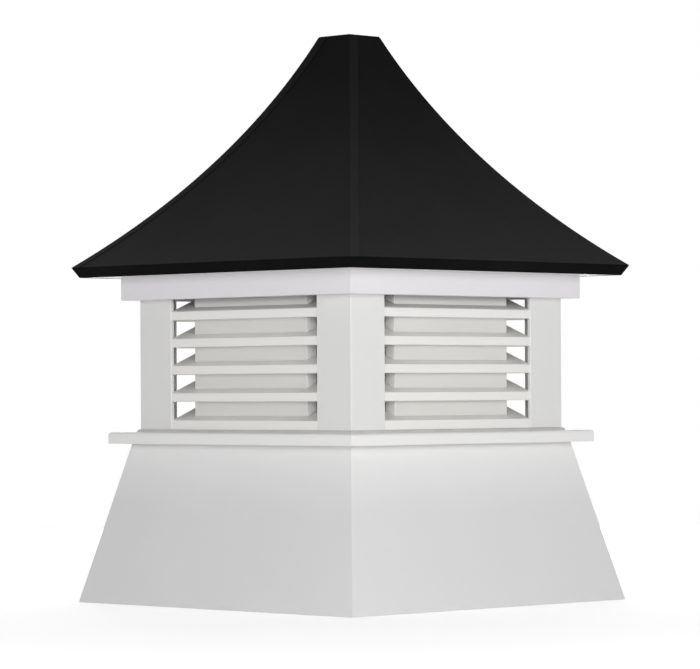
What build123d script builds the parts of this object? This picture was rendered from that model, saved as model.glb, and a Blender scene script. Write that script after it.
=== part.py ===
"""Square louvred roof cupola: flared base, louvred body and concave pagoda roof."""
import os
from math import cos, radians, sin, sqrt, tan

from build123d import *

os.makedirs("parts", exist_ok=True)

# flared base
base_width = 610.0          # outside, at the bottom
base_flare = 60.5           # how far each face leans in on its way up
base_height = 249.5
base_sheet = 12.7           # level thickness of a panel

# sill
sill_overhang = 26.5        # past the top of the base
sill_breadth = 55.0
sill_thick = 18.0

# body
body_setback = 36.25        # face of the body behind the edge of the sill
corner_face = 72.4          # how far a corner board runs along each face
corner_thick = 6.35
body_height = 244.0

# louver blades
blade_count = 5
blade_pitch = 42.4
blade_foot = 4.5            # first pitch line above the sill
blade_slope = 21.5          # degrees below level
blade_reach = 70.0          # level depth of a blade
blade_nose = 14.0           # height of the plumb-cut front edge
blade_setback = 0.5         # nose behind the face
foot_fit = 1.0              # lowest blade above the sill

# weather strips that fill the gap between one blade and the next
strip_depth = 16.0          # behind the face
strip_thick = 20.0
strip_cut = 37.35           # cut back from each end of the blade
strip_gap = 0.3             # above the blade below

# frieze
frieze_thick = 21.25
frieze_height = 36.8

# deck under the roof
deck_thick = 17.0
deck_hole = 400.0

# roof
roof_top_width = 68.0
roof_rise = 362.5           # from the eave to the top
eave_overhang = 55.0        # past the frieze
hem_setback = 9.0           # foot of the hem behind the eave
hem_height = 15.5
hem_lap = 0.5               # below the deck
roof_sheet = 1.6
roof_sag = 26.3             # depth of the concave curve under its chord

sides = {"front": -90.0, "right": 0.0, "back": 90.0, "left": 180.0}


def side_plane(angle):
    """Plane whose x runs outwards from the axis and whose y runs up."""
    out = Vector(cos(radians(angle)), sin(radians(angle)), 0)
    return Plane(origin=(0, 0, 0), x_dir=out, z_dir=out.cross(Vector(0, 0, 1)))


def quarter(angle, reach):
    """Corners of the quarter of the plan that belongs to one side."""
    ends = [(reach * sqrt(2) * cos(radians(angle + turn)),
             reach * sqrt(2) * sin(radians(angle + turn))) for turn in (-45, 45)]
    return [(0, 0), *ends]


# base panels
base_half = base_width / 2
base_top_half = base_half - base_flare
for side, angle in sides.items():
    with BuildPart() as base_panel:
        with BuildSketch(side_plane(angle)):
            Polygon((base_half, 0), (base_top_half, base_height),
                    (base_top_half - base_sheet, base_height), (base_half - base_sheet, 0),
                    align=None)
        extrude(amount=base_half, both=True)
        with BuildSketch(Plane.XY):
            Polygon(*quarter(angle, base_half + 10), align=None)
        extrude(amount=base_height, mode=Mode.INTERSECT)
    base_panel.part.label = f"base_panel_{side}"
    export_step(base_panel.part, f"parts/base_panel_{side}.step")

# sill boards
sill_top = base_height + sill_thick
sill_half = base_top_half + sill_overhang
sill_in = sill_half - sill_breadth
for side, angle in sides.items():
    with BuildPart() as sill_board:
        with BuildSketch(side_plane(angle)):
            Polygon((sill_half, base_height), (sill_half, sill_top),
                    (sill_in, sill_top), (sill_in, base_height), align=None)
        extrude(amount=sill_half, both=True)
        with BuildSketch(Plane.XY.offset(base_height)):
            Polygon(*quarter(angle, sill_half + 10), align=None)
        extrude(amount=sill_thick, mode=Mode.INTERSECT)
    sill_board.part.label = f"sill_board_{side}"
    export_step(sill_board.part, f"parts/sill_board_{side}.step")

# corner boards
body_half = sill_half - body_setback
body_top = sill_top + body_height
for sx, sy in ((-1, -1), (1, -1), (1, 1), (-1, 1)):
    corner = f"{'front' if sy < 0 else 'back'}_{'left' if sx < 0 else 'right'}"
    with BuildPart() as corner_board:
        with BuildSketch(Plane.XY.offset(sill_top)):
            Polygon((sx * body_half, sy * body_half),
                    (sx * body_half, sy * (body_half - corner_face)),
                    (sx * (body_half - corner_thick), sy * (body_half - corner_face)),
                    (sx * (body_half - corner_thick), sy * (body_half - corner_thick)),
                    (sx * (body_half - corner_face), sy * (body_half - corner_thick)),
                    (sx * (body_half - corner_face), sy * body_half), align=None)
        extrude(amount=body_top - sill_top)
    corner_board.part.label = f"corner_board_{corner}"
    export_step(corner_board.part, f"parts/corner_board_{corner}.step")

# louver blades, numbered from the sill up
opening = 2 * (body_half - corner_face)
slope = tan(radians(blade_slope))
blade_out = body_half - blade_setback
blade_in = blade_out - blade_reach
for side, angle in sides.items():
    for index in range(blade_count):
        foot = sill_top + blade_foot + index * blade_pitch
        top = foot + blade_nose
        nose_foot = foot if index else sill_top + foot_fit
        with BuildPart() as blade:
            with BuildSketch(side_plane(angle)):
                Polygon((blade_out, nose_foot), (blade_out, top),
                        (blade_in, top + blade_reach * slope),
                        (blade_in, foot + blade_reach * slope),
                        (blade_out - (foot - nose_foot), foot), align=None)
            extrude(amount=opening / 2, both=True)
        blade.part.label = f"blade_{side}_{index + 1}"
        export_step(blade.part, f"parts/blade_{side}_{index + 1}.step")

# weather strips, under blades 2 to 5 and under the deck over the top blade
strip_out = body_half - strip_depth
strip_in = strip_out - strip_thick
for side, angle in sides.items():
    with BuildPart() as strips:
        for index in range(1, blade_count + 1):
            foot = sill_top + blade_foot + index * blade_pitch
            below = foot + blade_nose - blade_pitch
            out_foot = below + (blade_out - strip_out) * slope + strip_gap
            in_foot = below + (blade_out - strip_in) * slope + strip_gap
            out_top = foot + (blade_out - strip_out) * slope if index < blade_count else body_top
            in_top = foot + (blade_out - strip_in) * slope if index < blade_count else body_top
            with BuildSketch(side_plane(angle)):
                Polygon((strip_out, out_foot), (strip_out, out_top), (strip_in, in_top),
                        (strip_in, in_foot), align=None)
            extrude(amount=opening / 2 - strip_cut, both=True)
    strips.part.label = f"weather_strips_{side}"
    export_step(strips.part, f"parts/weather_strips_{side}.step")

# frieze boards
frieze_half = body_half + frieze_thick
frieze_foot = body_top - frieze_height
for side, angle in sides.items():
    with BuildPart() as frieze_board:
        with BuildSketch(side_plane(angle)):
            Polygon((frieze_half, frieze_foot), (frieze_half, body_top),
                    (body_half, body_top), (body_half, frieze_foot), align=None)
        extrude(amount=frieze_half, both=True)
        with BuildSketch(Plane.XY.offset(frieze_foot)):
            Polygon(*quarter(angle, frieze_half + 10), align=None)
        extrude(amount=body_top - frieze_foot, mode=Mode.INTERSECT)
    frieze_board.part.label = f"frieze_board_{side}"
    export_step(frieze_board.part, f"parts/frieze_board_{side}.step")

# deck boards under the roof, the soffit from below
eave_half = frieze_half + eave_overhang
hem_half = eave_half - hem_setback
deck_half = hem_half - roof_sheet
for side, angle in sides.items():
    with BuildPart() as deck_board:
        with BuildSketch(side_plane(angle)):
            Polygon((deck_half, body_top), (deck_half, body_top + deck_thick),
                    (deck_hole / 2, body_top + deck_thick), (deck_hole / 2, body_top), align=None)
        extrude(amount=deck_half, both=True)
        with BuildSketch(Plane.XY.offset(body_top)):
            Polygon(*quarter(angle, deck_half + 10), align=None)
        extrude(amount=deck_thick, mode=Mode.INTERSECT)
    deck_board.part.label = f"deck_board_{side}"
    export_step(deck_board.part, f"parts/deck_board_{side}.step")

# roof panels
top_half = roof_top_width / 2
hem_foot = body_top - hem_lap
eave_height = hem_foot + hem_height
roof_top = eave_height + roof_rise
for side, angle in sides.items():
    with BuildPart() as roof_panel:
        with BuildSketch(side_plane(angle)):
            with BuildLine():
                outer = SagittaArc((eave_half, eave_height), (top_half, roof_top - roof_sheet),
                                   roof_sag)
                below_top = outer @ 1 + roof_sheet * (outer % 1).rotate(Axis.Z, 90)
                below_eave = outer @ 0 + roof_sheet * ((outer % 0).rotate(Axis.Z, 90) + outer % 0)
                Line(outer @ 1, below_top)
                SagittaArc(below_top, below_eave, -roof_sag)
                Polyline(below_eave, (hem_half - roof_sheet, hem_foot), (hem_half, hem_foot),
                         outer @ 0)
            make_face()
        extrude(amount=eave_half, both=True)
        with BuildSketch(Plane.XY.offset(hem_foot)):
            Polygon(*quarter(angle, eave_half + 10), align=None)
        extrude(amount=roof_top - hem_foot, mode=Mode.INTERSECT)
    roof_panel.part.label = f"roof_panel_{side}"
    export_step(roof_panel.part, f"parts/roof_panel_{side}.step")

# roof cap
with BuildPart() as roof_cap:
    with BuildSketch(Plane.XY.offset(roof_top - roof_sheet)):
        Rectangle(roof_top_width, roof_top_width)
    extrude(amount=roof_sheet)
roof_cap.part.label = "roof_cap"
export_step(roof_cap.part, "parts/roof_cap.step")
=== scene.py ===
import math

import bmesh
import bpy
from mathutils import Matrix, Vector


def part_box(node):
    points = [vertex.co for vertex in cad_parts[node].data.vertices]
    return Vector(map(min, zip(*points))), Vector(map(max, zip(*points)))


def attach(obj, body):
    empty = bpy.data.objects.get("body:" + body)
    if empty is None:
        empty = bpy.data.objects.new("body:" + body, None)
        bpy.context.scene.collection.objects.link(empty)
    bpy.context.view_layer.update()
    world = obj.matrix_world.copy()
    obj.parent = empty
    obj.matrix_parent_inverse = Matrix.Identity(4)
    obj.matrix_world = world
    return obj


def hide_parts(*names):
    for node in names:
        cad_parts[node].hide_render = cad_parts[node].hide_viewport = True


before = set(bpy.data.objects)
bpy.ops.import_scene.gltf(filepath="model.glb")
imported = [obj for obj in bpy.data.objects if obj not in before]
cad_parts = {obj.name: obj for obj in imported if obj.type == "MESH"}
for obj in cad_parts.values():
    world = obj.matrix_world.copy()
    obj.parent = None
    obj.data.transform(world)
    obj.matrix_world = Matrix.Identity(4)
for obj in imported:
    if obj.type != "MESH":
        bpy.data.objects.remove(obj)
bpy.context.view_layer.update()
scene = bpy.context.scene
scene.view_settings.view_transform = "Standard"
sides = ["front", "right", "back", "left"]
turns = {"front": 0.0, "right": 90.0, "back": 180.0, "left": 270.0}  # degrees about the roof axis


# shader helpers
def addNode(tree, kind, place=(0, 0), **settings):
    node = tree.nodes.new(kind)
    node.location = place
    for key, value in settings.items():
        setattr(node, key, value)
    return node


def addSocket(tree, name, kind, value=None, out=False):
    socket = tree.interface.new_socket(name=name, in_out="OUTPUT" if out else "INPUT",
                                       socket_type=kind)
    if value is not None:
        socket.default_value = value
    return socket


def mathNode(tree, what, a, b=None, clamp=False, place=(0, 0)):
    node = addNode(tree, "ShaderNodeMath", place, operation=what, use_clamp=clamp)
    for slotIndex, value in enumerate((a, b)):
        if value is None:
            continue
        if isinstance(value, bpy.types.NodeSocket):
            tree.links.new(value, node.inputs[slotIndex])
        else:
            node.inputs[slotIndex].default_value = value
    return node.outputs[0]


def backgroundRay(tree, place):
    # 1 where the camera, a reflection or a clear piece looks at the background
    ray = addNode(tree, "ShaderNodeLightPath", place)
    seen = mathNode(tree, "MAXIMUM", ray.outputs["Is Camera Ray"], ray.outputs["Is Glossy Ray"],
                    place=(place[0] + 200, place[1]))
    return mathNode(tree, "MAXIMUM", seen, ray.outputs["Is Transmission Ray"],
                    place=(place[0] + 400, place[1]))


def mixColour(tree, factor, a, b, blend="MIX", place=(0, 0)):
    node = addNode(tree, "ShaderNodeMix", place, data_type="RGBA", blend_type=blend)
    for slotIndex, value in ((0, factor), (6, a), (7, b)):
        if isinstance(value, bpy.types.NodeSocket):
            tree.links.new(value, node.inputs[slotIndex])
        else:
            node.inputs[slotIndex].default_value = value
    return node.outputs[2]


# settled dust: strongest on faces that look up, broken into soft patches
def makeDustGroup():
    tree = bpy.data.node_groups.new("settledDust", "ShaderNodeTree")
    addSocket(tree, "Patch Size", "NodeSocketFloat", 9.0)
    addSocket(tree, "Start", "NodeSocketFloat", 0.35)
    addSocket(tree, "Amount", "NodeSocketFloat", 0.5)
    addSocket(tree, "Mask", "NodeSocketFloat", out=True)
    src = addNode(tree, "NodeGroupInput", (-900, 0))
    out = addNode(tree, "NodeGroupOutput", (500, 0))
    coord = addNode(tree, "ShaderNodeTexCoord", (-900, -250))
    noise = addNode(tree, "ShaderNodeTexNoise", (-650, -250))
    noise.inputs["Detail"].default_value = 6.0
    noise.inputs["Roughness"].default_value = 0.65
    tree.links.new(coord.outputs["Object"], noise.inputs["Vector"])
    tree.links.new(src.outputs["Patch Size"], noise.inputs["Scale"])
    face = addNode(tree, "ShaderNodeNewGeometry", (-900, 250))
    split = addNode(tree, "ShaderNodeSeparateXYZ", (-650, 250))
    tree.links.new(face.outputs["Normal"], split.inputs[0])
    ramp = addNode(tree, "ShaderNodeMapRange", (-400, 250), interpolation_type="SMOOTHSTEP")
    tree.links.new(split.outputs["Z"], ramp.inputs["Value"])
    tree.links.new(src.outputs["Start"], ramp.inputs["From Min"])
    ramp.inputs["From Max"].default_value = 1.0
    patch = mathNode(tree, "MULTIPLY_ADD", noise.outputs["Fac"], 0.9, place=(-400, -250))
    patch.node.inputs[2].default_value = 0.35
    held = mathNode(tree, "MULTIPLY", ramp.outputs[0], patch, place=(-100, 100))
    mask = mathNode(tree, "MULTIPLY", held, src.outputs["Amount"], clamp=True, place=(150, 100))
    tree.links.new(mask, out.inputs["Mask"])
    return tree


# surface grain: slow tone drift, fine speckle and a height for the bump
def makeGrainGroup():
    tree = bpy.data.node_groups.new("surfaceGrain", "ShaderNodeTree")
    addSocket(tree, "Drift Scale", "NodeSocketFloat", 3.0)
    addSocket(tree, "Grain Scale", "NodeSocketFloat", 420.0)
    addSocket(tree, "Stretch", "NodeSocketVector", (1.0, 1.0, 1.0))
    addSocket(tree, "Drift", "NodeSocketFloat", out=True)
    addSocket(tree, "Grain", "NodeSocketFloat", out=True)
    addSocket(tree, "Height", "NodeSocketFloat", out=True)
    src = addNode(tree, "NodeGroupInput", (-900, 0))
    out = addNode(tree, "NodeGroupOutput", (500, 0))
    coord = addNode(tree, "ShaderNodeTexCoord", (-900, -250))
    drift = addNode(tree, "ShaderNodeTexNoise", (-400, 250))
    drift.inputs["Detail"].default_value = 4.0
    drift.inputs["Roughness"].default_value = 0.55
    tree.links.new(coord.outputs["Object"], drift.inputs["Vector"])
    tree.links.new(src.outputs["Drift Scale"], drift.inputs["Scale"])
    stretch = addNode(tree, "ShaderNodeVectorMath", (-650, -100), operation="MULTIPLY")
    tree.links.new(coord.outputs["Object"], stretch.inputs[0])
    tree.links.new(src.outputs["Stretch"], stretch.inputs[1])
    grain = addNode(tree, "ShaderNodeTexNoise", (-400, -50))
    grain.inputs["Detail"].default_value = 3.0
    tree.links.new(stretch.outputs[0], grain.inputs["Vector"])
    tree.links.new(src.outputs["Grain Scale"], grain.inputs["Scale"])
    pores = addNode(tree, "ShaderNodeTexVoronoi", (-400, -350), feature="SMOOTH_F1")
    pores.inputs["Smoothness"].default_value = 0.6
    tree.links.new(stretch.outputs[0], pores.inputs["Vector"])
    tree.links.new(src.outputs["Grain Scale"], pores.inputs["Scale"])
    height = mathNode(tree, "MULTIPLY_ADD", pores.outputs["Distance"], 0.6, place=(0, -250))
    tree.links.new(grain.outputs["Fac"], height.node.inputs[2])
    tree.links.new(drift.outputs["Fac"], out.inputs["Drift"])
    tree.links.new(grain.outputs["Fac"], out.inputs["Grain"])
    tree.links.new(height, out.inputs["Height"])
    return tree


# painted shade: greys a board between two heights, thicker in slow drifts; it stands in for shade
# under the deck and low on the base
def makeHeightShadeGroup():
    tree = bpy.data.node_groups.new("heightPaintedShade", "ShaderNodeTree")
    addSocket(tree, "Unshaded Height", "NodeSocketFloat", 0.25)
    addSocket(tree, "Shaded Height", "NodeSocketFloat", 0.15)
    addSocket(tree, "Amount", "NodeSocketFloat", 1.0)
    addSocket(tree, "Mask", "NodeSocketFloat", out=True)
    src = addNode(tree, "NodeGroupInput", (-900, 0))
    out = addNode(tree, "NodeGroupOutput", (500, 0))
    coord = addNode(tree, "ShaderNodeTexCoord", (-900, -250))
    noise = addNode(tree, "ShaderNodeTexNoise", (-650, -300))
    noise.inputs["Scale"].default_value = 7.0
    noise.inputs["Detail"].default_value = 5.0
    tree.links.new(coord.outputs["Object"], noise.inputs["Vector"])
    split = addNode(tree, "ShaderNodeSeparateXYZ", (-650, 100))
    tree.links.new(coord.outputs["Object"], split.inputs[0])
    fade = addNode(tree, "ShaderNodeMapRange", (-400, 100), interpolation_type="SMOOTHSTEP")
    tree.links.new(split.outputs["Z"], fade.inputs["Value"])
    tree.links.new(src.outputs["Unshaded Height"], fade.inputs["From Min"])
    tree.links.new(src.outputs["Shaded Height"], fade.inputs["From Max"])
    drift = mathNode(tree, "MULTIPLY_ADD", noise.outputs["Fac"], 0.5, place=(-400, -200))
    drift.node.inputs[2].default_value = 0.75
    held = mathNode(tree, "MULTIPLY", fade.outputs[0], drift, place=(-100, 0))
    mask = mathNode(tree, "MULTIPLY", held, src.outputs["Amount"], clamp=True, place=(150, 0))
    tree.links.new(mask, out.inputs["Mask"])
    return tree


dustGroup = makeDustGroup()
grainGroup = makeGrainGroup()
heightShadeGroup = makeHeightShadeGroup()


def placeGroup(tree, group, place, **values):
    node = addNode(tree, "ShaderNodeGroup", place, node_tree=group)
    for key, value in values.items():
        node.inputs[key].default_value = value
    return node


def greyRange(tree, value, low, high, place=(0, 0)):
    # spreads a noise, which mostly lies between 0.3 and 0.7, from low to high
    node = addNode(tree, "ShaderNodeMapRange", place)
    tree.links.new(value, node.inputs["Value"])
    node.inputs["From Min"].default_value = 0.3
    node.inputs["From Max"].default_value = 0.7
    node.inputs["To Min"].default_value = low
    node.inputs["To Max"].default_value = high
    return node.outputs[0]


# white foamed vinyl board
boardLook = {
    "colour": (0.860, 0.858, 0.852, 1.0),
    "shade": (0.825, 0.823, 0.818, 1.0),       # slow drift towards this
    "edge": (0.88, 0.88, 0.87, 1.0),           # eased edges, a touch lighter; also painted light on the strip end faces
    "dust": (0.60, 0.59, 0.57, 1.0),
    "dustAmount": 0.42,
    "driftAmount": 0.6,
    "speckAmount": 0.10,
    "edgeAmount": 0.55,
    "paintedShadeBand": None,                              # the heights of a band of painted shade, if it has one
    "paintedShadeColour": (0.90, 0.895, 0.90, 1.0),
    "roughness": (0.40, 0.52),
    "dustRoughness": 0.3,
    "specular": 0.28,
    "grainScale": 520.0,
    "bump": 0.00006,
    "bumpStrength": 0.6,
}


def makeVinyl(name, look):
    material = bpy.data.materials.new(name)
    material.use_nodes = True
    tree = material.node_tree
    shader = tree.nodes["Principled BSDF"]
    grain = placeGroup(tree, grainGroup, (-900, 0), **{"Grain Scale": look["grainScale"]})
    dust = placeGroup(tree, dustGroup, (-900, -350), **{"Amount": look["dustAmount"]})
    edge = addNode(tree, "ShaderNodeAttribute", (-900, 300), attribute_name="edgeWearAndHighlight")
    drift = greyRange(tree, grain.outputs["Drift"], 0.0, look["driftAmount"], (-650, 200))
    toned = mixColour(tree, drift, look["colour"], look["shade"], place=(-450, 200))
    speck = greyRange(tree, grain.outputs["Grain"], 0.0, look["speckAmount"], (-650, 0))
    specked = mixColour(tree, speck, toned, look["shade"], "MULTIPLY", (-250, 200))
    wearAndHighlight = mathNode(tree, "MULTIPLY", edge.outputs["Fac"], look["edgeAmount"],
                    place=(-450, 420))
    edged = mixColour(tree, wearAndHighlight, specked, look["edge"], place=(-50, 260))
    layeredColour = mixColour(tree, dust.outputs["Mask"], edged, look["dust"], place=(150, 200))
    # a band of painted shade, multiplied in between two heights
    if look["paintedShadeBand"]:
        heightShade = placeGroup(tree, heightShadeGroup, (-250, 480), **look["paintedShadeBand"])
        layeredColour = mixColour(tree, heightShade.outputs["Mask"], layeredColour, look["paintedShadeColour"], "MULTIPLY",
                          (350, 260))
    tree.links.new(layeredColour, shader.inputs["Base Color"])
    rough = greyRange(tree, grain.outputs["Grain"], look["roughness"][0], look["roughness"][1],
                      (-250, -50))
    dulled = mathNode(tree, "MULTIPLY_ADD", dust.outputs["Mask"], look["dustRoughness"], True,
                      (-50, -50))
    tree.links.new(rough, dulled.node.inputs[2])
    tree.links.new(dulled, shader.inputs["Roughness"])
    shader.inputs["Specular IOR Level"].default_value = look["specular"]
    bump = addNode(tree, "ShaderNodeBump", (-50, -250))
    bump.inputs["Distance"].default_value = look["bump"]
    bump.inputs["Strength"].default_value = look["bumpStrength"]
    tree.links.new(grain.outputs["Height"], bump.inputs["Height"])
    tree.links.new(bump.outputs["Normal"], shader.inputs["Normal"])
    return material


vinylBoard = makeVinyl("whiteVinylBoard", boardLook)
# the base takes a lighter white that greys towards its foot: painted shade, darker towards the
# bottom
vinylBase = makeVinyl("whiteVinylBase", dict(
    boardLook, colour=(0.880, 0.877, 0.876, 1.0), shade=(0.850, 0.847, 0.846, 1.0),
    paintedShadeBand={"Unshaded Height": 0.245, "Shaded Height": 0.13, "Amount": 1.0}))
vinylCorner = makeVinyl("whiteVinylCorner", dict(
    boardLook, colour=(0.838, 0.836, 0.825, 1.0), shade=(0.806, 0.804, 0.794, 1.0)))
vinylFrieze = makeVinyl("whiteVinylFrieze", dict(
    boardLook, colour=(0.850, 0.835, 0.858, 1.0), shade=(0.815, 0.801, 0.822, 1.0)))
vinylSill = makeVinyl("whiteVinylSill", dict(
    boardLook, colour=(0.930, 0.926, 0.912, 1.0), shade=(0.900, 0.896, 0.883, 1.0)))
# the slats take a cream white; the top slat greys where it lies under the deck: painted shade
vinylSlat = makeVinyl("whiteVinylSlat", dict(
    boardLook, colour=(0.935, 0.925, 0.893, 1.0), shade=(0.905, 0.895, 0.865, 1.0),
    edge=(0.94, 0.93, 0.90, 1.0), grainScale=460.0, paintedShadeColour=(0.77, 0.755, 0.795, 1.0),
    paintedShadeBand={"Unshaded Height": 0.4562, "Shaded Height": 0.4585, "Amount": 1.0}))
# the strips take a darker white: painted shade for their recess behind the slats; the top strip
# greys further under the deck, also painted shade
vinylStrip = makeVinyl("whiteVinylStrip", dict(
    boardLook, colour=(0.775, 0.764, 0.738, 1.0), shade=(0.745, 0.734, 0.710, 1.0),
    edge=(0.93, 0.92, 0.90, 1.0), grainScale=460.0, paintedShadeColour=(0.74, 0.730, 0.765, 1.0),
    paintedShadeBand={"Unshaded Height": 0.465, "Shaded Height": 0.475, "Amount": 1.0}))

# black powder coat on sheet aluminium
coatLook = {
    "colour": (0.0024, 0.0024, 0.0026, 1.0),
    # lighter than the coat for worn edges; the hip lap takes this colour as a painted highlight
    "wornAndHighlight": (0.0085, 0.0085, 0.0087, 1.0),
    "dust": (0.056, 0.055, 0.054, 1.0),
    "dustAmount": 0.48,
    "dustStart": 0.42,
    "driftAmount": 0.5,
    "edgeAmount": 0.6,
    "roughness": (0.36, 0.50),
    "dustRoughness": 0.4,
    "specular": 0.018,
    "peelScale": 900.0,
    "bump": 0.00005,
    "bumpStrength": 0.5,
}


def makeCoat(name, look):
    material = bpy.data.materials.new(name)
    material.use_nodes = True
    tree = material.node_tree
    shader = tree.nodes["Principled BSDF"]
    grain = placeGroup(tree, grainGroup, (-900, 0),
                       **{"Drift Scale": 5.0, "Grain Scale": look["peelScale"]})
    dust = placeGroup(tree, dustGroup, (-900, -350),
                      **{"Patch Size": 6.0, "Start": look["dustStart"],
                         "Amount": look["dustAmount"]})
    edge = addNode(tree, "ShaderNodeAttribute", (-900, 300), attribute_name="edgeWearAndHighlight")
    drift = greyRange(tree, grain.outputs["Drift"], 0.0, look["driftAmount"], (-650, 200))
    toned = mixColour(tree, drift, look["colour"], look["wornAndHighlight"], place=(-450, 200))
    wearAndHighlight = mathNode(tree, "MULTIPLY", edge.outputs["Fac"], look["edgeAmount"],
                    place=(-450, 420))
    edged = mixColour(tree, wearAndHighlight, toned, look["wornAndHighlight"], place=(-200, 260))
    layeredColour = mixColour(tree, dust.outputs["Mask"], edged, look["dust"], place=(0, 200))
    tree.links.new(layeredColour, shader.inputs["Base Color"])
    rough = greyRange(tree, grain.outputs["Grain"], look["roughness"][0], look["roughness"][1],
                      (-450, -50))
    dulled = mathNode(tree, "MULTIPLY_ADD", dust.outputs["Mask"], look["dustRoughness"], True,
                      (-200, -50))
    tree.links.new(rough, dulled.node.inputs[2])
    tree.links.new(dulled, shader.inputs["Roughness"])
    shader.inputs["Specular IOR Level"].default_value = look["specular"]
    bump = addNode(tree, "ShaderNodeBump", (-200, -250))
    bump.inputs["Distance"].default_value = look["bump"]
    bump.inputs["Strength"].default_value = look["bumpStrength"]
    tree.links.new(grain.outputs["Height"], bump.inputs["Height"])
    tree.links.new(bump.outputs["Normal"], shader.inputs["Normal"])
    return material


blackCoat = makeCoat("blackPowderCoat", coatLook)


# a grey bead along the foot of the body: painted shade for the shadow line where the body meets
# the sill
shadowBeadLook = {
    "dark": (0.530, 0.522, 0.522, 1.0),
    "light": (0.610, 0.602, 0.602, 1.0),
    "roughness": (0.50, 0.65),
    "driftScale": 22.0,
    "grainScale": 700.0,
    "bump": 0.0002,
}


def makeShadowBeadPaint(look):
    material = bpy.data.materials.new("greyShadowBead")
    material.use_nodes = True
    tree = material.node_tree
    shader = tree.nodes["Principled BSDF"]
    grain = placeGroup(tree, grainGroup, (-700, 0),
                       **{"Drift Scale": look["driftScale"], "Grain Scale": look["grainScale"]})
    tone = greyRange(tree, grain.outputs["Drift"], 0.0, 1.0, (-450, 150))
    colour = mixColour(tree, tone, look["dark"], look["light"], place=(-250, 150))
    tree.links.new(colour, shader.inputs["Base Color"])
    rough = greyRange(tree, grain.outputs["Grain"], look["roughness"][0], look["roughness"][1],
                      (-450, -100))
    tree.links.new(rough, shader.inputs["Roughness"])
    bump = addNode(tree, "ShaderNodeBump", (-200, -250))
    bump.inputs["Distance"].default_value = look["bump"]
    tree.links.new(grain.outputs["Drift"], bump.inputs["Height"])
    tree.links.new(bump.outputs["Normal"], shader.inputs["Normal"])
    return material


greyShadowBead = makeShadowBeadPaint(shadowBeadLook)
print("materials made")


# mesh helpers
# how far each kind of face takes the edge colour, through a face attribute: worn edges, and
# painted light on the strip end faces and the roof lap
edgeMark = {"arris": 1.0, "topRound": 0.5, "paintedLightEnd": 1.8, "highlightedLap": 1.7}
shading = {"sharpAngle": math.radians(38.0), "weight": 60}
easing = {"weld": 1e-5, "flatAngle": math.radians(0.5), "bevelFrom": 0.6, "roundSegments": 6}


def finishPiece(name, mesh, material, replaced=()):
    piece = bpy.data.objects.new(name, mesh)
    scene.collection.objects.link(piece)
    mesh.materials.clear()
    mesh.materials.append(material)
    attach(piece, "root")
    if replaced:
        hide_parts(*replaced)
    return piece


def evenNormals(mesh):
    # area-weighted normals keep the broad faces flat beside a rounded edge
    mesh.shade_smooth()
    mesh.set_sharp_from_angle(angle=shading["sharpAngle"])
    holder = bpy.data.objects.new("normalHolder", mesh)
    scene.collection.objects.link(holder)
    weighting = holder.modifiers.new("weights", "WEIGHTED_NORMAL")
    weighting.mode = "FACE_AREA"
    weighting.weight = shading["weight"]
    weighting.keep_sharp = True
    bpy.context.view_layer.update()
    graph = bpy.context.evaluated_depsgraph_get()
    made = bpy.data.meshes.new_from_object(holder.evaluated_get(graph), depsgraph=graph)
    bpy.data.objects.remove(holder)
    return made


def easedCopy(nodeName, ease, segments=3, special=None, specialEase=0.0, paintedLightAxis=None):
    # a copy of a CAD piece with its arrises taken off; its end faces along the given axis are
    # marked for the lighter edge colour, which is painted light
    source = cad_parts[nodeName]
    mesh = bmesh.new()
    mesh.from_mesh(source.data)
    bmesh.ops.transform(mesh, matrix=source.matrix_world, verts=mesh.verts)
    bmesh.ops.remove_doubles(mesh, verts=mesh.verts, dist=easing["weld"])
    bmesh.ops.dissolve_limit(mesh, angle_limit=easing["flatAngle"], verts=mesh.verts,
                             edges=mesh.edges)
    mark = mesh.faces.layers.float.new("edgeWearAndHighlight")
    if special:
        chosen = [e for e in mesh.edges if len(e.link_faces) == 2 and special(e)]
        made = bmesh.ops.bevel(mesh, geom=chosen, offset=specialEase,
                               segments=easing["roundSegments"], profile=0.5, affect="EDGES",
                               clamp_overlap=True, offset_type="OFFSET")
        for face in made["faces"]:
            face[mark] = edgeMark["topRound"]
    sharp = [e for e in mesh.edges
             if len(e.link_faces) == 2 and e.calc_face_angle(0) > easing["bevelFrom"]]
    made = bmesh.ops.bevel(mesh, geom=sharp, offset=ease, segments=segments, profile=0.5,
                           affect="EDGES", clamp_overlap=True, offset_type="OFFSET")
    for face in made["faces"]:
        face[mark] = edgeMark["arris"]
    # end faces across the run take the light edge colour: painted light in the shaded slot ends
    if paintedLightAxis:
        for face in mesh.faces:
            if abs(face.normal.dot(paintedLightAxis)) > 0.9:
                face[mark] = edgeMark["paintedLightEnd"]
    data = bpy.data.meshes.new(nodeName + "_eased")
    mesh.to_mesh(data)
    mesh.free()
    return evenNormals(data)


# boards
boardEase = {"base_panel": 0.0007, "corner_board": 0.0009, "frieze_board": 0.0008,
             "deck_board": 0.0006, "weather_strips": 0.0006, "blade": 0.0012}
sillEase = {"arris": 0.0005, "topRound": 0.0045, "longEdge": 0.5}


def isTopOuter(edge):
    # the long top edge of a sill board, on its weather side
    a, b = (v.co for v in edge.verts)
    level = abs(a.z - b.z) < 1e-5 and a.z > sillTop - 1e-4
    return level and (a - b).length > sillEase["longEdge"]


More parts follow.
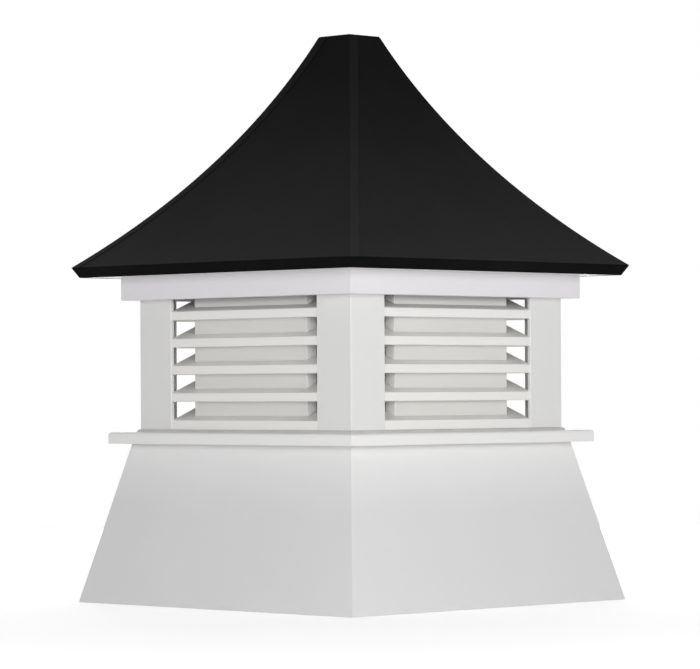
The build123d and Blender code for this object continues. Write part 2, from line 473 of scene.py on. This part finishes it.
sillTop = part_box("sill_board_front")[1].z
for side in sides:
    for family, finish in (("base_panel", vinylBase), ("frieze_board", vinylFrieze),
                           ("deck_board", vinylBoard)):
        node = f"{family}_{side}"
        finishPiece(node + "_eased", easedCopy(node, boardEase[family]), finish, (node,))
    node = f"sill_board_{side}"
    finishPiece(node + "_eased",
                easedCopy(node, sillEase["arris"], special=isTopOuter,
                          specialEase=sillEase["topRound"]),
                vinylSill, (node,))
    node = f"weather_strips_{side}"
    runs = Vector((1.0, 0.0, 0.0) if side in ("front", "back") else (0.0, 1.0, 0.0))
    finishPiece(node + "_eased", easedCopy(node, boardEase["weather_strips"], 2, paintedLightAxis=runs),
                vinylStrip, (node,))
    node = f"blade_{side}_1"
    finishPiece(node + "_eased", easedCopy(node, boardEase["blade"]), vinylSlat, (node,))
for corner in ("front_left", "front_right", "back_right", "back_left"):
    node = f"corner_board_{corner}"
    finishPiece(node + "_eased", easedCopy(node, boardEase["corner_board"]), vinylCorner, (node,))
print("boards eased")


# louver slats, by geometry nodes
slatRow = {
    "Count": 4, "Pitch": 0.0424, "Nose Height": 0.014, "Reach": 0.070,
    "Slope": math.radians(21.5), "Length": 0.3245, "Edge Radius": 0.0014,
}


def makeSlatTree():
    tree = bpy.data.node_groups.new("slatRow", "GeometryNodeTree")
    for name, value in slatRow.items():
        addSocket(tree, name, "NodeSocketInt" if name == "Count" else "NodeSocketFloat", value)
    addSocket(tree, "Face", "NodeSocketVector", (0.0, 0.0, 0.0))
    addSocket(tree, "Turn", "NodeSocketFloat", 0.0)
    addSocket(tree, "Material", "NodeSocketMaterial")
    addSocket(tree, "Slats", "NodeSocketGeometry", out=True)
    links = tree.links
    src = addNode(tree, "NodeGroupInput", (-1400, 0))
    out = addNode(tree, "NodeGroupOutput", (1400, 0))

    def calc(what, a, b, place):
        return mathNode(tree, what, a, b, place=place)

    tangent = calc("TANGENT", src.outputs["Slope"], None, (-1200, 300))
    rise = calc("MULTIPLY", tangent, src.outputs["Reach"], (-1050, 300))
    innerTop = calc("ADD", rise, src.outputs["Nose Height"], (-900, 300))
    back = calc("MULTIPLY", src.outputs["Reach"], -1.0, (-1050, 100))

    def point(x, y, place):
        node = addNode(tree, "ShaderNodeCombineXYZ", place)
        for slotIndex, value in enumerate((x, y)):
            if isinstance(value, bpy.types.NodeSocket):
                links.new(value, node.inputs[slotIndex])
            else:
                node.inputs[slotIndex].default_value = value
        return node.outputs[0]

    section = addNode(tree, "GeometryNodeCurvePrimitiveQuadrilateral", (-500, 200), mode="POINTS")
    # the swept section hangs head down, so its heights are negative
    corners = [point(0.0, 0.0, (-750, 400)),
               point(back, calc("MULTIPLY", rise, -1.0, (-900, 40)), (-750, 40)),
               point(back, calc("MULTIPLY", innerTop, -1.0, (-900, 160)), (-750, 160)),
               point(0.0, calc("MULTIPLY", src.outputs["Nose Height"], -1.0, (-900, 420)),
                     (-750, 280))]
    for index, value in enumerate(corners):
        links.new(value, section.inputs[f"Point {index + 1}"])
    fillet = addNode(tree, "GeometryNodeFilletCurve", (-300, 200), mode="POLY")
    fillet.inputs["Count"].default_value = 5
    links.new(section.outputs["Curve"], fillet.inputs["Curve"])
    links.new(src.outputs["Edge Radius"], fillet.inputs["Radius"])
    half = calc("MULTIPLY", src.outputs["Length"], 0.5, (-750, -150))
    minusHalf = calc("MULTIPLY", half, -1.0, (-600, -150))
    path = addNode(tree, "GeometryNodeCurvePrimitiveLine", (-300, -100))
    links.new(point(minusHalf, 0.0, (-450, -80)), path.inputs["Start"])
    links.new(point(half, 0.0, (-450, -200)), path.inputs["End"])
    sweep = addNode(tree, "GeometryNodeCurveToMesh", (-50, 100))
    links.new(path.outputs["Curve"], sweep.inputs["Curve"])
    links.new(fillet.outputs["Curve"], sweep.inputs["Profile Curve"])
    sweep.inputs["Fill Caps"].default_value = True
    row = addNode(tree, "GeometryNodeMeshLine", (-50, -200), mode="OFFSET")
    rowStep = addNode(tree, "ShaderNodeCombineXYZ", (-250, -300))
    links.new(src.outputs["Pitch"], rowStep.inputs["Z"])
    links.new(src.outputs["Count"], row.inputs["Count"])
    links.new(src.outputs["Face"], row.inputs["Start Location"])
    links.new(rowStep.outputs[0], row.inputs["Offset"])
    copies = addNode(tree, "GeometryNodeInstanceOnPoints", (200, 0))
    links.new(row.outputs["Mesh"], copies.inputs["Points"])
    links.new(sweep.outputs["Mesh"], copies.inputs["Instance"])
    turn = addNode(tree, "GeometryNodeTransform", (400, 0))
    turnVector = addNode(tree, "ShaderNodeCombineXYZ", (200, -200))
    links.new(src.outputs["Turn"], turnVector.inputs["Z"])
    links.new(copies.outputs["Instances"], turn.inputs["Geometry"])
    links.new(turnVector.outputs[0], turn.inputs["Rotation"])
    real = addNode(tree, "GeometryNodeRealizeInstances", (650, 0))
    links.new(turn.outputs["Geometry"], real.inputs["Geometry"])
    paint = addNode(tree, "GeometryNodeSetMaterial", (900, 0))
    links.new(real.outputs["Geometry"], paint.inputs["Geometry"])
    links.new(src.outputs["Material"], paint.inputs["Material"])
    links.new(paint.outputs["Geometry"], out.inputs["Slats"])
    return tree


def runTree(tree, name, values):
    # evaluates a node tree on an empty mesh and gives back a plain mesh
    carrier = bpy.data.objects.new(name, bpy.data.meshes.new(name))
    scene.collection.objects.link(carrier)
    modifier = carrier.modifiers.new("nodes", "NODES")
    modifier.node_group = tree
    for item in tree.interface.items_tree:
        if item.item_type == "SOCKET" and item.in_out == "INPUT" and item.name in values:
            modifier[item.identifier] = values[item.name]
    bpy.context.view_layer.update()
    graph = bpy.context.evaluated_depsgraph_get()
    made = bpy.data.meshes.new_from_object(carrier.evaluated_get(graph), depsgraph=graph)
    bpy.data.objects.remove(carrier)
    return made


slatTree = makeSlatTree()
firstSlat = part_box("blade_front_2")[0]
for side in sides:
    values = dict(slatRow, Face=Vector((0.0, firstSlat.y, firstSlat.z)),
                  Turn=math.radians(turns[side]), Material=vinylSlat)
    slats = runTree(slatTree, f"slats_{side}", values)
    finishPiece(f"slats_{side}", slats, vinylSlat,
                tuple(f"blade_{side}_{n}" for n in range(2, 6)))
print("slats laid")


# roof: four bent sheets, each lapped round one hip on to its neighbour
roofSheet = {
    "gauge": 0.0016, "sag": 0.0263, "hem": 0.0155, "hemSetback": 0.009, "rows": 44,
    "eaveRoll": 0.0022, "insideRoll": 0.0009, "cutRoll": 0.0004,
    "footSpread": 1.2,                         # inner foot from the outer one, in gauges
    "lapWidth": 0.018, "lapShare": 0.8,        # lapShare: of the half width, near the peak
    "lapStand": 0.0012, "lapGauge": 0.0011, "lapLift": -0.0003,
    "lapRise": (0.55, 0.9),                    # shares of lapStand, up its hip edge
    "hipRound": 0.0008, "freeRound": 0.0004, "capEase": 0.0007,
}
panelLow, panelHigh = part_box("roof_panel_front")
eaveHalf = -panelLow.y
eaveHeight = panelLow.z + roofSheet["hem"]
topHalf = -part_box("roof_cap")[0].x


def hollowArc(start, end, sag, offset, rows):
    # points (half width, height) along an arc that sags below its chord
    chord = end - start
    radius = (chord.length ** 2 / 4 + sag ** 2) / (2 * sag)
    outward = Vector((chord.y, -chord.x)).normalized()
    centre = (start + end) / 2 + outward * (radius - sag)
    first, last = (math.atan2(p.y - centre.y, p.x - centre.x) % math.tau for p in (start, end))
    angles = [first + (last - first) * row / rows for row in range(rows + 1)]
    return [centre + (radius + offset) * Vector((math.cos(a), math.sin(a))) for a in angles]


def roundCorner(before, corner, after, radius, segments=4):
    # the points of a small fillet that replaces one corner of a section
    inLine, outLine = (before - corner).normalized(), (after - corner).normalized()
    halfAngle = inLine.angle(outLine) / 2
    reach = radius / math.tan(halfAngle)
    middle = corner + (inLine + outLine).normalized() * radius / math.sin(halfAngle)
    spokes = corner + inLine * reach - middle, corner + outLine * reach - middle
    points = []
    for step in range(segments + 1):
        spoke = spokes[0].lerp(spokes[1], step / segments)
        points.append(middle + spoke.normalized() * radius)
    return points


def loft(mesh, loops):
    # quads between closed sections, and a flat cap at either end
    faces = []
    for low, high in zip(loops, loops[1:]):
        for index in range(len(low)):
            after = (index + 1) % len(low)
            faces.append(mesh.faces.new((low[index], low[after], high[after], high[index])))
    mesh.faces.new(loops[0][::-1])
    mesh.faces.new(loops[-1])
    return faces


def makeRoofPanel(side):
    eave, peak = Vector((eaveHalf, eaveHeight)), Vector((topHalf, panelHigh.z))
    gauge = roofSheet["gauge"]
    outer = hollowArc(eave, peak, roofSheet["sag"], 0.0, roofSheet["rows"])
    inner = hollowArc(eave, peak, roofSheet["sag"], gauge, roofSheet["rows"])[::-1]
    inner[-1].x -= gauge
    foot = Vector((eaveHalf - roofSheet["hemSetback"], panelLow.z))
    inFoot = foot - Vector((gauge * roofSheet["footSpread"], 0.0))
    section = (roundCorner(inFoot, foot, eave, roofSheet["cutRoll"])
               + roundCorner(foot, eave, outer[1], roofSheet["eaveRoll"], 8)
               + outer[1:] + inner[:-1]
               + roundCorner(inner[-2], inner[-1], inFoot, roofSheet["insideRoll"])
               + roundCorner(inner[-1], inFoot, foot, roofSheet["cutRoll"]))
    mesh = bmesh.new()
    mark = mesh.faces.layers.float.new("edgeWearAndHighlight")
    # the sheet runs from hip to hip and is mitred on both
    loft(mesh, [[mesh.verts.new((hip * p.x, -p.x, p.y)) for p in section] for hip in (-1, 1)])
    # the lap goes round the corner, where its outer face carries on the line of this sheet
    quarterTurn = Matrix.Rotation(math.radians(90.0), 3, "Z")
    stand, lapGauge = roofSheet["lapStand"], roofSheet["lapGauge"]
    freeStand = stand + roofSheet["lapLift"]
    lowRise, highRise = roofSheet["lapRise"]
    hipRound, freeRound = roofSheet["hipRound"], roofSheet["freeRound"]
    rows = []
    for index, here in enumerate(outer):
        along = (outer[min(index + 1, len(outer) - 1)] - outer[max(index - 1, 0)]).normalized()
        normal = Vector((0.0, -along.y, -along.x))
        forward = Vector((0.0, -1.0 / along.y, 0.0))
        width = min(roofSheet["lapWidth"], here.x * roofSheet["lapShare"])
        hip = Vector((-here.x, -here.x, here.y))
        free = hip + Vector((width, 0.0, 0.0))
        rows.append([hip + forward * (stand - lapGauge), hip + forward * stand * lowRise,
                     hip + forward * stand * highRise + Vector((hipRound / 4, 0.0, 0.0)),
                     hip + forward * stand + Vector((hipRound, 0.0, 0.0)),
                     free + normal * freeStand - Vector((freeRound, 0.0, 0.0)),
                     free + normal * (freeStand - freeRound * 0.75),
                     free + normal * (freeStand - lapGauge)])
    highlightedLap = loft(mesh, [[mesh.verts.new(quarterTurn @ point) for point in row] for row in rows])
    # the lap takes the full worn colour: a painted highlight along the hip
    for face in highlightedLap:
        face[mark] = edgeMark["highlightedLap"]
    bmesh.ops.recalc_face_normals(mesh, faces=mesh.faces)
    bmesh.ops.transform(mesh, matrix=Matrix.Rotation(math.radians(turns[side]), 4, "Z"),
                        verts=mesh.verts)
    data = bpy.data.meshes.new(f"roof_sheet_{side}")
    mesh.to_mesh(data)
    mesh.free()
    return evenNormals(data)


for side in sides:
    finishPiece(f"roof_sheet_{side}", makeRoofPanel(side), blackCoat, (f"roof_panel_{side}",))
finishPiece("roof_cap_eased", easedCopy("roof_cap", roofSheet["capEase"]), blackCoat,
            ("roof_cap",))
print("roof sheets bent")


# grey bead where the body stands on the sill: painted shade for the shadow line there
shadowBead = {"height": 0.0046, "depth": 0.0040, "segments": 6}


def makeShadowBead():
    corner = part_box("corner_board_front_left")[0]
    half, foot = -corner.x, corner.z
    mesh = bmesh.new()
    section = [(0.0, 0.0)]
    for step in range(shadowBead["segments"] + 1):
        angle = math.radians(90.0) * step / shadowBead["segments"]
        section.append((shadowBead["depth"] * math.cos(angle), shadowBead["height"] * math.sin(angle)))
    rings = []
    for sx, sy in ((-1, -1), (1, -1), (1, 1), (-1, 1)):
        rings.append([mesh.verts.new((sx * (half + out), sy * (half + out), foot + up))
                      for out, up in section])
    for index, ring in enumerate(rings):
        after = rings[(index + 1) % len(rings)]
        for point in range(len(section)):
            nextPoint = (point + 1) % len(section)
            mesh.faces.new((ring[point], ring[nextPoint], after[nextPoint], after[point]))
    bmesh.ops.recalc_face_normals(mesh, faces=mesh.faces)
    data = bpy.data.meshes.new("sill_shadow_bead")
    mesh.to_mesh(data)
    mesh.free()
    return evenNormals(data)


finishPiece("sill_shadow_bead", makeShadowBead(), greyShadowBead, ())
print("sealant run in")


# stage: a round pale floor that ends short of the rear lamps
floorLook = {"radius": 3.1, "segments": 96, "colour": (0.84, 0.84, 0.84, 1.0), "roughness": 0.9,
             "specular": 0.1, "glow": 0.45}
floorMesh = bpy.data.meshes.new("floor")
builder = bmesh.new()
bmesh.ops.create_circle(builder, cap_ends=True, segments=floorLook["segments"],
                        radius=floorLook["radius"])
builder.to_mesh(floorMesh)
builder.free()
floor = bpy.data.objects.new("floor", floorMesh)
scene.collection.objects.link(floor)
floorPaint = bpy.data.materials.new("paleFloor")
floorPaint.use_nodes = True
floorTree = floorPaint.node_tree
floorShader = floorTree.nodes["Principled BSDF"]
floorShader.inputs["Base Color"].default_value = floorLook["colour"]
floorShader.inputs["Roughness"].default_value = floorLook["roughness"]
floorShader.inputs["Specular IOR Level"].default_value = floorLook["specular"]
floorShader.inputs["Emission Color"].default_value = (1.0, 1.0, 1.0, 1.0)
floorGlow = mathNode(floorTree, "MULTIPLY", backgroundRay(floorTree, (-900, -300)),
                     floorLook["glow"], place=(-250, -300))
floorTree.links.new(floorGlow, floorShader.inputs["Emission Strength"])
floorMesh.materials.append(floorPaint)
print("floor laid")

# world: soft light from overhead, white where the camera or a reflection looks past the object
studio = {"horizon": 0.10, "zenith": 0.40, "background": 1.0}
world = bpy.data.worlds.new("studio")
scene.world = world
world.use_nodes = True
sky = world.node_tree
sky.nodes.clear()
skyOut = addNode(sky, "ShaderNodeOutputWorld", (700, 0))
lit = addNode(sky, "ShaderNodeBackground", (200, 100))
white = addNode(sky, "ShaderNodeBackground", (200, -100))
lit.inputs["Color"].default_value = white.inputs["Color"].default_value = (1.0, 1.0, 1.0, 1.0)
white.inputs["Strength"].default_value = studio["background"]
pick = addNode(sky, "ShaderNodeMixShader", (450, 0))
seen = backgroundRay(sky, (-300, 350))
skyCoord = addNode(sky, "ShaderNodeTexCoord", (-500, 0))
skySplit = addNode(sky, "ShaderNodeSeparateXYZ", (-300, 0))
fade = addNode(sky, "ShaderNodeMapRange", (-100, 0))
fade.inputs["From Max"].default_value = 1.0
fade.inputs["To Min"].default_value = studio["horizon"]
fade.inputs["To Max"].default_value = studio["zenith"]
sky.links.new(skyCoord.outputs["Generated"], skySplit.inputs[0])
sky.links.new(skySplit.outputs["Z"], fade.inputs["Value"])
sky.links.new(fade.outputs[0], lit.inputs["Strength"])
sky.links.new(seen, pick.inputs[0])
sky.links.new(lit.outputs[0], pick.inputs[1])
sky.links.new(white.outputs[0], pick.inputs[2])
sky.links.new(pick.outputs[0], skyOut.inputs["Surface"])

# a ring of low soft boxes, placed by the camera's right, towards the camera, and up
viewLine = Vector((-1.0, 1.0, 0.0)).normalized()
rightLine = Vector((1.0, 1.0, 0.0)).normalized()
lamps = {
    "frontBox": {"at": (0.0, 3.6, 0.7), "size": (2.6, 1.2), "power": 58.2},
    "frontRightBox": {"at": (2.2, 2.8, 0.7), "size": (2.0, 1.2), "power": 23.2},
    "frontLeftBox": {"at": (-2.2, 2.8, 0.7), "size": (2.0, 1.2), "power": 10.4},
    "backBox": {"at": (0.0, -3.6, 0.7), "size": (2.6, 1.2), "power": 58.0},
    "backRightBox": {"at": (2.2, -2.8, 0.7), "size": (2.0, 1.2), "power": 20.0},
    "backLeftBox": {"at": (-2.2, -2.8, 0.7), "size": (2.0, 1.2), "power": 20.0},
}
aimHeight = 0.42
for name, lamp in lamps.items():
    light = bpy.data.lights.new(name, "AREA")
    light.shape = "RECTANGLE"
    light.size, light.size_y = lamp["size"]
    light.energy = lamp["power"]
    holder = bpy.data.objects.new(name, light)
    holder.visible_camera = False
    scene.collection.objects.link(holder)
    right, near, up = lamp["at"]
    holder.location = rightLine * right - viewLine * near + Vector((0.0, 0.0, up))
    aim = Vector((0.0, 0.0, aimHeight)) - holder.location
    holder.rotation_euler = aim.to_track_quat("-Z", "Y").to_euler()
print("lamps set")

# camera
lens = {"distance": 5.7099, "height": 0.3311, "focal": 186.23, "shift": (-0.0014, 0.0803),
        "roll": -0.294}
camera = bpy.data.cameras.new("camera")
cameraHolder = bpy.data.objects.new("camera", camera)
scene.collection.objects.link(cameraHolder)
scene.camera = cameraHolder
camera.sensor_width = 36.0
camera.lens = lens["focal"]
camera.shift_x, camera.shift_y = lens["shift"]
camera.clip_end = 100.0
axes = Matrix((rightLine, Vector((0.0, 0.0, 1.0)), -viewLine)).transposed()
spot = -viewLine * lens["distance"] + Vector((0.0, 0.0, lens["height"]))
cameraHolder.matrix_world = (Matrix.Translation(spot) @ axes.to_4x4()
                             @ Matrix.Rotation(math.radians(lens["roll"]), 4, "Z"))
